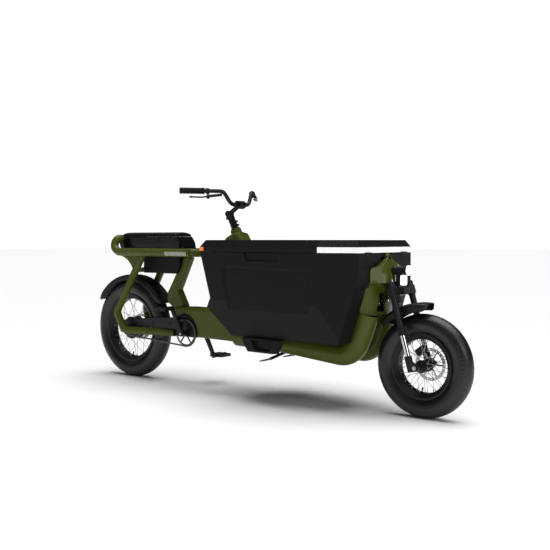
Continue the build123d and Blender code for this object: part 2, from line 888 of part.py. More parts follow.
with BuildPart() as nose_cover:
    add(nose_form(0))
    with BuildPart(mode=Mode.PRIVATE) as nose_room:
        add(nose_form(4))
        add(block(780, 880, -146, 146, 600, 642))
    add(nose_room.part, mode=Mode.SUBTRACT)
    add(rod(fork_at(0, 0, -20), fork_at(0, 0, 130), 24), mode=Mode.SUBTRACT)
    add(largest(nose_cover), mode=Mode.REPLACE)
save(nose_cover, "nose_cover")

LAMP_Z = 704
with BuildPart() as headlight_body:
    add(rod((864, 0, LAMP_Z), (932, 0, LAMP_Z), 21))
    chamfer(headlight_body.edges().filter_by(GeomType.CIRCLE).sort_by(Axis.X)[0], length=6)
    add(rod((932, 0, LAMP_Z), (946, 0, LAMP_Z), 25))
    add(block(888, 916, -17, 17, 636, LAMP_Z - 14))
    add(block(856, 890, -8, 8, 694, 712))
    add(nose_cover.part, mode=Mode.SUBTRACT)
    add(front_neck.part, mode=Mode.SUBTRACT)
    add(largest(headlight_body), mode=Mode.REPLACE)
save(headlight_body, "headlight_body")

with BuildPart() as headlight_lens:
    add(rod((946, 0, LAMP_Z), (953, 0, LAMP_Z), 24))
    fillet(headlight_lens.edges().filter_by(GeomType.CIRCLE).sort_by(Axis.X)[-1], radius=4)
save(headlight_lens, "headlight_lens")

with BuildPart() as running_light:
    add(block(916, 927, -23, 23, 632, 680))
    fillet(running_light.edges().filter_by(Axis.X), radius=9)
save(running_light, "running_light")

# ---------------------------------------------------------------- fork
LINK_ALONG = -86
DRAG_ALONG = -104
CROWN_LOW = -70
CROWN_HIGH = -32
LEG_TOP = -11
SLEEVE_END = -78
OUTER_END = -262
STANCHION_TOP = -150
STANCHION_END = -442

with BuildPart() as fork_crown:
    with BuildSketch(fork_plane(CROWN_LOW)):
        with BuildLine():
            Polyline(
                (-26, -8),
                (-26, 8),
                (26, 112),
                (60, 112),
                (66, 90),
                (34, 40),
                (34, -40),
                (66, -90),
                (60, -112),
                (26, -112),
                close=True,
            )
        make_face()
        fillet(vertices(), radius=7)
    extrude(amount=CROWN_HIGH - CROWN_LOW)
    for side in (1, -1):
        leg = rod(
            fork_at(LEG_FORWARD, side * LEG_SIDE, CROWN_LOW - 5),
            fork_at(LEG_FORWARD, side * LEG_SIDE, CROWN_HIGH + 5),
            18,
        )
        add(leg, mode=Mode.SUBTRACT)
    add(rod(fork_at(0, 0, CROWN_LOW), fork_at(0, 0, 124), STEERER_R))
    add(rod(fork_at(0, 0, CROWN_HIGH), fork_at(0, 0, -1), 24))
    add(rod(fork_at(0, 0, 117), fork_at(0, 0, 124), 20))
    # The steering arm hangs from the crown, behind and to the right.
    add(
        rod(
            fork_at(BALL_FORWARD, BALL_SIDE, LINK_ALONG + 6),
            fork_at(BALL_FORWARD, BALL_SIDE, CROWN_LOW),
            8,
        )
    )
    add(
        rod(
            fork_at(BALL_FORWARD, BALL_SIDE, LINK_ALONG - 7),
            fork_at(BALL_FORWARD, BALL_SIDE, CROWN_LOW),
            4,
        )
    )
    with BuildSketch(fork_plane(CROWN_LOW)):
        with BuildLine():
            Polyline(
                (-22, -44), (-22, -56), (-8, -58), (34, -58), (34, -20), (-6, -16), close=True
            )
        make_face()
    extrude(amount=14)
save(fork_crown, "fork_crown")

with BuildPart() as headset_bearings:
    add(rod(fork_at(0, 0, 0.2), fork_at(0, 0, 17.8), 19, STEERER_R + RUNNING))
    add(rod(fork_at(0, 0, 102.2), fork_at(0, 0, 115.8), 19, STEERER_R + RUNNING))
    add(rod(column_at(0, 0, TOWER_TOP - 22.3), column_at(0, 0, TOWER_TOP - 0.7), 24, COLUMN_R + RUNNING))
    add(rod(column_at(0, 0, -606), column_at(0, 0, -590), 24, COLUMN_R + RUNNING))
save(headset_bearings, "headset_bearings")


def leg_at(along):
    return fork_at(LEG_FORWARD, -LEG_SIDE, along)


with BuildPart() as fork_leg:
    add(rod(leg_at(SLEEVE_END), leg_at(LEG_TOP), 18))
    add(rod(leg_at(OUTER_END), leg_at(SLEEVE_END), 15.5))
    add(rod(leg_at(OUTER_END), leg_at(OUTER_END + 26), 18))
    add(rod(leg_at(LEG_TOP), leg_at(LEG_TOP + 5), 12))
    add(rod(leg_at(OUTER_END - 5), leg_at(STANCHION_TOP + 50), STANCHION_R + RUNNING), mode=Mode.SUBTRACT)
save_pair(fork_leg, "fork_legs")

with BuildPart() as stanchion:
    add(rod(leg_at(STANCHION_END + 40), leg_at(STANCHION_TOP), STANCHION_R))
save_pair(stanchion, "fork_stanchions")

AXLE_FORWARD = 68
AXLE_ALONG = -428
with BuildPart() as fork_lug:
    add(rod(leg_at(STANCHION_END), leg_at(-366), 18))
    near = fork_at(0, -LEG_SIDE, AXLE_ALONG)
    plate = Plane(
        origin=(near[0], -LEG_SIDE + 8, near[2]),
        x_dir=fork_plane(0).x_dir,
        z_dir=(0, -1, 0),
    )
    with BuildSketch(plate):
        with BuildLine():
            Polyline(
                (LEG_FORWARD - 4, -14),
                (LEG_FORWARD - 4, 48),
                (LEG_FORWARD + 12, 34),
                (AXLE_FORWARD + 16, 8),
                (AXLE_FORWARD + 16, -12),
                (AXLE_FORWARD, -17),
                close=True,
            )
        make_face()
    extrude(amount=14)
    add(across(FRONT_AXLE, -LEG_SIDE - 6, -LEG_SIDE + 18, 17))
    add(across(FRONT_AXLE, -130, -50, AXLE_R), mode=Mode.SUBTRACT)
    add(across(FRONT_AXLE, -130, -LEG_SIDE - 6, 10), mode=Mode.SUBTRACT)
    add(stanchion.part, mode=Mode.SUBTRACT)
save_pair(fork_lug, "axle_lugs")

with BuildPart() as front_axle:
    add(across(FRONT_AXLE, -108, 108, AXLE_R))
    add(across(FRONT_AXLE, -106, -LEG_SIDE - 6, 10))
    add(across(FRONT_AXLE, LEG_SIDE + 6, 106, 10))
save(front_axle, "front_axle")

CALIPER_SPAN = 15


def caliper_part(axle, angle):
    """A brake caliper that straddles the disc's rim."""
    out = math.radians(angle)
    centre = (axle[0] + 74 * math.cos(out), ROTOR_Y, axle[2] + 74 * math.sin(out))
    lie = Plane(
        origin=(centre[0], ROTOR_Y + CALIPER_SPAN, centre[2]),
        x_dir=(math.cos(out), 0, math.sin(out)),
        z_dir=(0, -1, 0),
    )
    with BuildPart() as made:
        with BuildSketch(lie):
            with Locations((6, 0)):
                RectangleRounded(36, 56, 8)
        extrude(amount=2 * CALIPER_SPAN)
        add(across(axle, ROTOR_Y - 2.5, ROTOR_Y + 2.5, ROTOR_R + 2), mode=Mode.SUBTRACT)
    return made.part


with BuildPart() as front_caliper:
    add(caliper_part(FRONT_AXLE, 128))
    add(mirrored(fork_lug.part), mode=Mode.SUBTRACT)
    add(mirrored(stanchion.part), mode=Mode.SUBTRACT)
    add(largest(front_caliper), mode=Mode.REPLACE)
save(front_caliper, "front_brake_caliper")

with BuildPart() as rear_caliper:
    add(caliper_part(REAR_AXLE, 28))
    add(mirrored(rear_stay.part), mode=Mode.SUBTRACT)
    add(largest(rear_caliper), mode=Mode.REPLACE)
    arm = Vector(REAR_AXLE[0] + 74, 75, REAR_AXLE[2] + 30)
    add(rod(arm, (arm.X, 92, REAR_AXLE[2] + 16), 7))
    add(mirrored(rear_stay.part), mode=Mode.SUBTRACT)
    add(largest(rear_caliper), mode=Mode.REPLACE)
save(rear_caliper, "rear_brake_caliper")


def fender_part(axle, outer_r, half, start, end):
    """A curved mudguard: an arched strip with turned-down sides."""
    skirt = outer_r - 24
    with BuildPart() as made:
        turn = Plane(
            origin=axle,
            x_dir=(math.cos(math.radians(start)), 0, math.sin(math.radians(start))),
            z_dir=(-math.sin(math.radians(start)), 0, math.cos(math.radians(start))),
        )
        with BuildSketch(turn):
            with BuildLine():
                Polyline((skirt, -half), (outer_r - 12, -half))
                ThreePointArc((outer_r - 12, -half), (outer_r, 0), (outer_r - 12, half))
                Polyline((outer_r - 12, half), (skirt, half), (skirt, half - 3), (outer_r - 15, half - 3))
                ThreePointArc((outer_r - 15, half - 3), (outer_r - 3, 0), (outer_r - 15, -half + 3))
                Polyline((outer_r - 15, -half + 3), (skirt, -half + 3), (skirt, -half))
            make_face()
        revolve(axis=Axis(axle, (0, -1, 0)), revolution_arc=end - start)
    return made.part


with BuildPart() as rear_fender:
    add(fender_part(REAR_AXLE, 332, 58, 30, 150))

with BuildPart() as rear_fender_mounts:
    add(block(-672, -640, -14, 14, 490, 530))
    add(block(-868, -842, -14, 14, 620, 660))
    add(rear_fender.part, mode=Mode.SUBTRACT)
    add(seat_tube.part, mode=Mode.SUBTRACT)
    add(stay_bridge.part, mode=Mode.SUBTRACT)
    add(across(REAR_AXLE, -20, 20, 331), mode=Mode.SUBTRACT)
    kept = [solid for solid in rear_fender_mounts.solids() if solid.volume > 1000]
    add(kept, mode=Mode.REPLACE)

with BuildPart() as rear_mudguard:
    add(rear_fender.part)
    add(rear_fender_mounts.part)
save(rear_mudguard, "rear_fender")

with BuildPart() as front_fender:
    add(fender_part(FRONT_AXLE, 304, 56, 84, 139))

with BuildPart() as front_fender_mount:
    add(rod(fork_at(16, 0, CROWN_LOW - 42), fork_at(16, 0, CROWN_LOW), 11))
    add(across(FRONT_AXLE, -40, 40, 303), mode=Mode.SUBTRACT)
    add(front_fender.part, mode=Mode.SUBTRACT)
    add(largest(front_fender_mount), mode=Mode.REPLACE)

with BuildPart() as front_mudguard:
    add(front_fender.part)
    add(front_fender_mount.part)
save(front_mudguard, "front_fender")

# ---------------------------------------------------------------- steering linkage
ball = fork_at(BALL_FORWARD, BALL_SIDE, LINK_ALONG)
far_ball = (ball[0] - IDLER_BACK, ball[1], ball[2])
with BuildPart() as link_rod:
    add(rod(ball, far_ball, 3.5))
    for end in (ball, far_ball):
        up = Vector(*fork_at(0, 0, 1)) - Vector(*fork_at(0, 0, 0))
        low = Vector(*end) - up * 5
        high = Vector(*end) + up * 5
        add(rod(low, high, 8.5))
    for end, bore in ((ball, 4 + RUNNING), (far_ball, 5.5)):
        low = Vector(*end) - up * 9
        high = Vector(*end) + up * 9
        add(rod(low, high, bore), mode=Mode.SUBTRACT)
save(link_rod, "link_rod")

with BuildPart() as idler_lever:
    add(rod(idler_at(0, 0, -176), idler_at(0, 0, -40), 8))
    with BuildSketch(tilted_plane(IDLER_BASE, FORK_TILT, LINK_ALONG - 18)):
        with BuildLine():
            Polyline((10, 10), (10, -20), (-5, -60), (-25, -60), (-25, -44), (-10, 10), close=True)
        make_face()
        fillet(vertices(), radius=4)
    extrude(amount=6)
    ball_low = idler_at(BALL_FORWARD, BALL_SIDE, LINK_ALONG - 14)
    ball_high = idler_at(BALL_FORWARD, BALL_SIDE, LINK_ALONG + 8)
    add(rod(ball_low, ball_high, 4))
    add(rod(idler_at(0, DRAG_SIDE, DRAG_ALONG - 16), idler_at(0, DRAG_SIDE, DRAG_ALONG + 4), 4))
save(idler_lever, "idler_lever")

drag_rear = column_at(0, DRAG_SIDE, COLUMN_LEVER - 15.5)
drag_front = idler_at(0, DRAG_SIDE, DRAG_ALONG - 9)
with BuildPart() as drag_link:
    add(
        tube(
            [
                drag_rear,
                (250, DRAG_SIDE, 306),
                (694, DRAG_SIDE, 292),
                (drag_front[0] - 44, DRAG_SIDE, drag_front[2] - 60),
                drag_front,
            ],
            [200, 80, 30],
            4.5,
        )
    )
    lean_column = Vector(*column_at(0, 0, 1)) - Vector(*column_at(0, 0, 0))
    lean_idler = Vector(*idler_at(0, 0, 1)) - Vector(*idler_at(0, 0, 0))
    for end, lean, eye in ((drag_rear, lean_column, 8), (drag_front, lean_idler, 4 + RUNNING)):
        low = Vector(*end) - lean * 4.5
        high = Vector(*end) + lean * 4.5
        add(rod(low, high, 11))
        low = Vector(*end) - lean * 9
        high = Vector(*end) + lean * 9
        add(rod(low, high, eye), mode=Mode.SUBTRACT)
save(drag_link, "drag_link")

# ---------------------------------------------------------------- handlebar
STEM_PIVOT = column_at(0, 0, 108)
with BuildPart() as steering_column:
    add(rod(column_at(0, 0, COLUMN_LEVER - 8), column_at(0, 0, 84), COLUMN_R))
    with BuildSketch(column_plane(COLUMN_LEVER - 8)):
        with BuildLine():
            Polyline((14, 12), (8, -34), (-8, -34), (-14, 12), close=True)
        make_face()
        fillet(vertices(), radius=5)
    extrude(amount=14)
    pin_low = column_at(0, DRAG_SIDE, COLUMN_LEVER - 23)
    pin_high = column_at(0, DRAG_SIDE, COLUMN_LEVER)
    add(rod(pin_low, pin_high, 4))

with BuildPart() as stem_base:
    add(rod(column_at(0, 0, TOWER_TOP + 0.5), column_at(0, 0, 84), 20))
    add(rod(column_at(0, 0, TOWER_TOP + 0.5), column_at(0, 0, TOWER_TOP + 5.5), 26))
    add(rod(column_at(0, 0, 60), STEM_PIVOT, 14))
    for y in (-20, 10):
        add(rod((STEM_PIVOT[0], y, STEM_PIVOT[2]), (STEM_PIVOT[0], y + 10, STEM_PIVOT[2]), 17))
        add(block(STEM_PIVOT[0] - 9, STEM_PIVOT[0] + 16, y, y + 10, STEM_PIVOT[2] - 34, STEM_PIVOT[2] - 8))
    add(across((STEM_PIVOT[0], 0, STEM_PIVOT[2]), -10.3, 10.3, 19), mode=Mode.SUBTRACT)
    # The arm needs this room as it tilts between its two limits.
    for tilt in (3, 17, 31, 45):
        reach = Vector(math.cos(math.radians(tilt)), 0, math.sin(math.radians(tilt))) * 60
        add(rod(STEM_PIVOT, Vector(*STEM_PIVOT) + reach, 13.8), mode=Mode.SUBTRACT)
    add(steering_column.part, mode=Mode.SUBTRACT)
    add(across((STEM_PIVOT[0], 0, STEM_PIVOT[2]), -40, 40, 5), mode=Mode.SUBTRACT)
    for along in (28, 50):
        add(rod(column_at(22, -14, along), column_at(22, 14, along), 6))

with BuildPart() as stem_pivot_bolt:
    add(across(STEM_PIVOT, -26, 26, 5))
    for y in (-26, 20):
        add(across(STEM_PIVOT, y, y + 6, 9))

with BuildPart() as column_set:
    add(steering_column.part)
    add(stem_base.part)
    add(stem_pivot_bolt.part)
save(column_set, "steering_column")

CLAMP = (-117.5, 0, 1045)
BAR_PATH = [
    (CLAMP[0], 0, CLAMP[2]),
    (CLAMP[0], -74, CLAMP[2]),
    (-134.7, -121, 1117),
    (-279, -307, 1117),
]
BAR_R = 11.1
with BuildPart() as handlebar:
    half_bar = tube(BAR_PATH, [45, 36], BAR_R)
    add(half_bar)
    mirror(half_bar, about=Plane.XZ)
    add(across(CLAMP, -32, 32, 15.9))
save(handlebar, "handlebar")

with BuildPart() as stem_arm:
    pivot = (STEM_PIVOT[0], 0, STEM_PIVOT[2])
    add(across(pivot, -10, 10, 17))
    add(rod(pivot, CLAMP, 13))
    add(across(CLAMP, -26, 26, 23))
    for y in (-17, 17):
        for x in (-24, 24):
            add(rod((CLAMP[0] + x, y, CLAMP[2] - 10), (CLAMP[0] + x, y, CLAMP[2] + 14), 6.5))
    for y in (-26, 10.3):
        add(rod((pivot[0], y, pivot[2]), (pivot[0], y + 15.7, pivot[2]), 18), mode=Mode.SUBTRACT)
    add(handlebar.part, mode=Mode.SUBTRACT)
    add(across(pivot, -30, 30, 5 + RUNNING), mode=Mode.SUBTRACT)
save(stem_arm, "stem_arm")

grip_run = (Vector(*BAR_PATH[3]) - Vector(*BAR_PATH[2])).normalized()
bar_end = Vector(*BAR_PATH[3])
with BuildPart() as grip:
    add(rod(bar_end - grip_run * 130, bar_end + grip_run * 4, 17))
    add(rod(bar_end - grip_run * 130, bar_end - grip_run * 122, 18.5))
    add(rod(bar_end - grip_run * 140, bar_end, BAR_R), mode=Mode.SUBTRACT)
save_pair(grip, "grips")

# Hand controls: a clamp with a brake cylinder, and a lever that pivots ahead of and below it.
LEVER_DROP = math.radians(40)
clamp_at = bar_end - grip_run * 148
level = Vector(-grip_run.Y, grip_run.X, 0)
ahead = level * math.cos(LEVER_DROP) - Vector(0, 0, math.sin(LEVER_DROP))
lift = level * math.sin(LEVER_DROP) + Vector(0, 0, math.cos(LEVER_DROP))
lever_pivot = clamp_at + ahead * 34 - lift * 10
with BuildPart() as brake_mount:
    add(rod(clamp_at - grip_run * 9, clamp_at + grip_run * 9, 16.5))
    add(rod(clamp_at + ahead * 8, lever_pivot - ahead * 4, 7))
    add(rod(lever_pivot - grip_run * 76 - ahead * 4 + lift * 8, lever_pivot - grip_run * 4, 8))
    add(rod(lever_pivot + lift * 6.2, lever_pivot + lift * 12, 9))
    add(rod(lever_pivot - lift * 12, lever_pivot - lift * 6.2, 9))
    add(rod(lever_pivot - lift * 6.2, lever_pivot + lift * 6.2, 12), mode=Mode.SUBTRACT)
    add(rod(clamp_at - grip_run * 12, clamp_at + grip_run * 12, BAR_R), mode=Mode.SUBTRACT)
    add(rod(lever_pivot - lift * 12, lever_pivot + lift * 12, 3))
save_pair(brake_mount, "brake_mounts")

with BuildPart() as brake_lever:
    add(rod(lever_pivot - lift * 5.6, lever_pivot + lift * 5.6, 8.5))
    tip = lever_pivot + grip_run * 98 + ahead * 7
    knee = lever_pivot + grip_run * 34 + ahead * 10
    add(tube([tuple(lever_pivot), tuple(knee), tuple(tip)], 30, 4.6))
    add(rod(tip - grip_run * 6, tip + grip_run * 4, 6))
    add(rod(lever_pivot - lift * 9, lever_pivot + lift * 9, 3 + RUNNING), mode=Mode.SUBTRACT)
save(brake_lever, "brake_lever_right")

with BuildPart() as brake_lever_left:
    mirror(brake_lever.part, about=Plane.XZ)
save(brake_lever_left, "brake_lever_left")

# ---------------------------------------------------------------- drive
ring_r = CHAIN_PITCH / 2 / math.sin(math.pi / RING_TEETH)
cog_r = CHAIN_PITCH / 2 / math.sin(math.pi / COG_TEETH)


def sprocket_part(axle, pitch_r, teeth, hub_r, bore_r, windows, phase):
    """A toothed wheel with windows between its arms."""
    with BuildPart() as made:
        middle = (axle[0], CHAIN_Y + 1.1, axle[2])
        with BuildSketch(Plane(origin=middle, x_dir=(1, 0, 0), z_dir=(0, -1, 0))):
            Circle(pitch_r + 3.4)
            with PolarLocations(pitch_r, teeth, start_angle=phase):
                Circle(3.95, mode=Mode.SUBTRACT)
            if windows:
                Circle(pitch_r - 11, mode=Mode.SUBTRACT)
                Circle(hub_r)
                with PolarLocations((pitch_r - 8 + hub_r) / 2, windows, start_angle=phase):
                    Rectangle(pitch_r - hub_r, 9)
            Circle(bore_r, mode=Mode.SUBTRACT)
        extrude(amount=2.2)
    return made.part


with BuildPart() as chainring:
    add(sprocket_part(CRANK_AXIS, ring_r, RING_TEETH, 20, 10, 5, 90))
    add(across(CRANK_AXIS, -66, -53, 18, 10))
save(chainring, "chainring")

with BuildPart() as rear_cog:
    add(sprocket_part(REAR_AXLE, cog_r, COG_TEETH, 20, AXLE_R + RUNNING, 0, 0))
    add(across(REAR_AXLE, -70, -51, 22, AXLE_R + RUNNING))
save(rear_cog, "rear_cog")

reach = CRANK_AXIS[0] - REAR_AXLE[0]
slope = math.atan2(CRANK_AXIS[2] - REAR_AXLE[2], reach)
spread = math.asin((ring_r - cog_r) / math.hypot(reach, CRANK_AXIS[2] - REAR_AXLE[2]))


def chain_run(side):
    """The two ends of the chain's upper or lower straight run."""
    angle = slope + side * (math.pi / 2 + spread)
    back = (REAR_AXLE[0] + cog_r * math.cos(angle), REAR_AXLE[2] + cog_r * math.sin(angle))
    fore = (CRANK_AXIS[0] + ring_r * math.cos(angle), CRANK_AXIS[2] + ring_r * math.sin(angle))
    return back, fore


with BuildPart() as drive_chain:
    (up_back, up_fore), (low_back, low_fore) = chain_run(1), chain_run(-1)
    for y in (CHAIN_Y - 2.0, CHAIN_Y + 3.6):
        with BuildSketch(Plane.XZ.offset(-y)):
            with BuildLine():
                Line(up_back, up_fore)
                ThreePointArc(up_fore, (CRANK_AXIS[0] + ring_r, CRANK_AXIS[2]), low_fore)
                Line(low_fore, low_back)
                ThreePointArc(low_back, (REAR_AXLE[0] - cog_r, REAR_AXLE[2]), up_back)
            make_face()
            offset(amount=4.2, kind=Kind.ARC)
            with BuildLine():
                Line(up_back, up_fore)
                ThreePointArc(up_fore, (CRANK_AXIS[0] + ring_r, CRANK_AXIS[2]), low_fore)
                Line(low_fore, low_back)
                ThreePointArc(low_back, (REAR_AXLE[0] - cog_r, REAR_AXLE[2]), up_back)
            inner = make_face(mode=Mode.PRIVATE)
            add(offset(inner, amount=-4.2, mode=Mode.PRIVATE), mode=Mode.SUBTRACT)
        extrude(amount=1.6)
    for start, end in ((up_back, up_fore), (low_back, low_fore)):
        run = math.dist(start, end)
        pins = int(run / CHAIN_PITCH) - 4
        for number in range(2, pins):
            share = (number + 0.5) * CHAIN_PITCH / run
            x = start[0] + (end[0] - start[0]) * share
            z = start[1] + (end[1] - start[1]) * share
            add(across((x, 0, z), CHAIN_Y - 3.8, CHAIN_Y + 3.8, 2.6))
save(drive_chain, "drive_chain")

GUARD_TOP = [(-1004, 352), (-960, 360), (-560, 392), (-534, 384)]
with BuildPart() as chain_guard:
    add(side_prism([(-1010, 318), *GUARD_TOP, (-534, 330), (-600, 326)], -73, -70))
    flange_top = [(x, z + 3) for x, z in GUARD_TOP]
    add(side_prism([*GUARD_TOP, *reversed(flange_top)], -73, -54))
    for x in (-600, -750, -900):
        add(rod((x, -76, 340 + (x + 900) * 0.05), (x, -73, 340 + (x + 900) * 0.05), 7))
save(chain_guard, "chain_guard")

turn = math.radians(CRANK_ANGLE)


def crank_end(side):
    """The pedal's axis on the right (-1) or left (+1) crank."""
    x = CRANK_AXIS[0] - side * CRANK_LENGTH * math.cos(turn)
    z = CRANK_AXIS[2] - side * CRANK_LENGTH * math.sin(turn)
    return (x, 0, z)


def crank_part(side):
    """One crank with its boss, and the axle for its pedal."""
    end = crank_end(side)
    low, high = sorted((side * 90, side * 104))
    with BuildPart() as made:
        add(across(CRANK_AXIS, low, high, 17))
        add(across(end, low, high, 13))
        along = Vector(*end) - Vector(*CRANK_AXIS)
        beam = Plane(origin=(CRANK_AXIS[0], high, CRANK_AXIS[2]), x_dir=along, z_dir=(0, -1, 0))
        with BuildSketch(beam):
            with BuildLine():
                Polyline(
                    (0, -14), (CRANK_LENGTH, -10), (CRANK_LENGTH, 10), (0, 14), close=True
                )
            make_face()
        extrude(amount=high - low)
        low, high = sorted((side * 104, side * (PEDAL_OUT - 6)))
        add(across(end, low, high, 6))
    return made.part


PEDAL_IN = 112
PEDAL_OUT = 202
with BuildPart() as crank_set:
    add(across(CRANK_AXIS, -104, 104, 10))
    add(across(CRANK_AXIS, -90, -66, 15))
    add(across(CRANK_AXIS, 60, 90, 15))
    add(crank_part(-1))
    add(crank_part(1))
save(crank_set, "crank_set")


def pedal_part(side):
    """A platform pedal: a cage about a middle barrel, with grip studs."""
    end = crank_end(side)
    low, high = sorted((side * PEDAL_IN, side * PEDAL_OUT))
    with BuildPart() as made:
        with BuildSketch(Plane.XY.offset(end[2] - 8)):
            with Locations((end[0], (low + high) / 2)):
                RectangleRounded(98, high - low, 10)
                with GridLocations(58, 0, 2, 1):
                    RectangleRounded(26, high - low - 22, 5, mode=Mode.SUBTRACT)
        extrude(amount=16)
        add(across(end, low, high, 12))
        with Locations((end[0], (low + high) / 2, end[2] + 8)):
            with GridLocations(84, 26, 2, 3):
                Cylinder(2.2, 3, align=(Align.CENTER, Align.CENTER, Align.MIN))
        add(across(end, low - 2, high + 2, 6 + RUNNING), mode=Mode.SUBTRACT)
    return made.part


with BuildPart() as pedal_right:
    add(pedal_part(-1))
save(pedal_right, "pedal_right")

with BuildPart() as pedal_left:
    add(pedal_part(1))
save(pedal_left, "pedal_left")

# ---------------------------------------------------------------- seat and battery
SEAT_HALF = 70
SEAT_SPLIT = 868
SEAT_TOP = 895
with BuildPart() as seat_base:
    with BuildSketch(Plane.XZ):
        with BuildLine():
            Polyline(
                (-504, 775.2),
                (-511, 812),
                (-554, SEAT_SPLIT),
                (-1034, SEAT_SPLIT),
                (-1050, 850),
                (-1034, 806),
                (-1000, 775.2),
                close=True,
            )
        make_face()
    extrude(amount=SEAT_HALF, both=True)
    chamfer(seat_base.faces().sort_by(Axis.X)[-1].edges().filter_by(Plane.XZ), length=14)
    add(block(-960, -560, -SEAT_HALF + 4, SEAT_HALF - 4, 782, SEAT_SPLIT + 2), mode=Mode.SUBTRACT)
    add(seat_rail.part, mode=Mode.SUBTRACT)
    add(rear_stays.part, mode=Mode.SUBTRACT)
    add(largest(seat_base), mode=Mode.REPLACE)
save(seat_base, "seat_base")

with BuildPart() as seat_cushion:
    with BuildSketch(Plane.XZ):
        with BuildLine():
            Polyline(
                (-553, SEAT_SPLIT + 0.3),
                (-566, SEAT_TOP),
                (-1012, SEAT_TOP),
                (-1034, SEAT_SPLIT + 0.3),
                close=True,
            )
        make_face()
    extrude(amount=SEAT_HALF, both=True)
    fillet(seat_cushion.edges().filter_by(Axis.X).group_by(Axis.Z)[-1], radius=8)
    add(seat_rail.part, mode=Mode.SUBTRACT)
    add(largest(seat_cushion), mode=Mode.REPLACE)
save(seat_cushion, "seat_cushion")

with BuildPart() as battery_box:
    add(side_prism([(-850, 775), (-850, 650), (-575, 650), (-545, 700), (-545, 775)], -46, 46))
    fillet(battery_box.edges().filter_by(Axis.Y), radius=5)
    add(rear_mudguard.part, mode=Mode.SUBTRACT)
    add(seat_tube.part, mode=Mode.SUBTRACT)
    add(seat_post.part, mode=Mode.SUBTRACT)
    add(seat_rail.part, mode=Mode.SUBTRACT)
    add(rear_stays.part, mode=Mode.SUBTRACT)
    add(largest(battery_box), mode=Mode.REPLACE)
save(battery_box, "battery_box")

# ---------------------------------------------------------------- kickstand
with BuildPart() as kickstand:
    add(across(STAND_PIVOT, -42, 42, 13))
    for side in (1, -1):
        add(
            tube(
                [
                    (STAND_PIVOT[0], side * 30, STAND_PIVOT[2]),
                    (236, side * 30, 256),
                    (180, side * 104, 219),
                ],
                30,
                8,
            )
        )
        add(
            side_prism(
                [(122, 201), (122, 207), (200, 229), (205, 226), (160, 208)],
                side * 104 - 20,
                side * 104 + 20,
            )
        )
    add(across((STAND_PIVOT[0] - 120, 0, 257), -30, 30, 7))
    add(across(STAND_PIVOT, -60, 60, 7 + RUNNING), mode=Mode.SUBTRACT)
save(kickstand, "kickstand")
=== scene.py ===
import json
import math

import bpy
import bmesh
import numpy as np
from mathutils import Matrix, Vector


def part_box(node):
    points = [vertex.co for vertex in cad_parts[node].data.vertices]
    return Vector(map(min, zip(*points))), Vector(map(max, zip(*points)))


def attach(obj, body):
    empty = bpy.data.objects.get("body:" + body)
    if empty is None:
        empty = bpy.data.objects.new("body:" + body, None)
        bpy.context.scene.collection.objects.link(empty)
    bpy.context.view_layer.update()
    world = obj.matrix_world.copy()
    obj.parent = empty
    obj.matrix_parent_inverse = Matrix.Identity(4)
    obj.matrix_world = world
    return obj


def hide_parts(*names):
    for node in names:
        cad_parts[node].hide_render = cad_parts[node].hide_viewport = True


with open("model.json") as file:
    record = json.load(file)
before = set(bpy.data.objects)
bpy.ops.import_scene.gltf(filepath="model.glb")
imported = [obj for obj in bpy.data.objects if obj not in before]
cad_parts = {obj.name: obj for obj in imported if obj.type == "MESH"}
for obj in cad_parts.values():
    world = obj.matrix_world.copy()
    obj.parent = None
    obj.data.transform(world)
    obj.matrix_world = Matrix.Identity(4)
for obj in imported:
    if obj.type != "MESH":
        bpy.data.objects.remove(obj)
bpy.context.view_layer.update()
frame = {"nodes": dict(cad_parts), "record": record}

# ---------------------------------------------------------------- camera, floor and light
AZIMUTH = math.radians(38.03)
ELEVATION = math.radians(2.5)
CAMERA_PLACE = (2.9052, -3.5476, 0.8566)
SENSOR_WIDTH = 36
LENS = 54.4
back = Vector((
    math.sin(AZIMUTH) * math.cos(ELEVATION),
    -math.cos(AZIMUTH) * math.cos(ELEVATION),
    math.sin(ELEVATION),
))
camera = bpy.data.objects.new("camera", bpy.data.cameras.new("camera"))
bpy.context.collection.objects.link(camera)
camera.location = CAMERA_PLACE
camera.rotation_mode = "QUATERNION"
camera.rotation_quaternion = (-back).to_track_quat("-Z", "Y")
camera.data.sensor_width = SENSOR_WIDTH
camera.data.lens = LENS
camera.data.clip_start = 0.05
camera.data.clip_end = 400
bpy.context.scene.camera = camera


def area_light(name, place, target, width, power, height):
    """A soft studio panel that faces a point."""
    data = bpy.data.lights.new(name, "AREA")
    data.shape = "RECTANGLE"
    data.size = width
    data.size_y = height
    data.energy = power
    light = bpy.data.objects.new(name, data)
    bpy.context.collection.objects.link(light)
    light.location = place
    aim = Vector(target) - Vector(place)
    light.rotation_mode = "QUATERNION"
    light.rotation_quaternion = aim.to_track_quat("-Z", "Y")
    return light


area_light("near_panel", (0.4, -5.2, 2.4), (0, 0, 0.6), 3.6, 7, 1.2)
area_light("front_panel", (4.6, -1.2, 2.2), (0.6, 0, 0.5), 1.8, 44, 1.8)
area_light("rear_panel", (-4.4, -1.6, 2.4), (-0.6, 0, 0.7), 2.2, 5, 1.2)
SUN_STRENGTH = 3.25
SUN_SPREAD = math.radians(62)
sky = bpy.data.lights.new("overhead", "SUN")
sky.energy = SUN_STRENGTH
sky.angle = SUN_SPREAD
overhead = bpy.data.objects.new("overhead", sky)
bpy.context.collection.objects.link(overhead)
overhead.rotation_euler = (math.radians(-5), math.radians(3), 0)

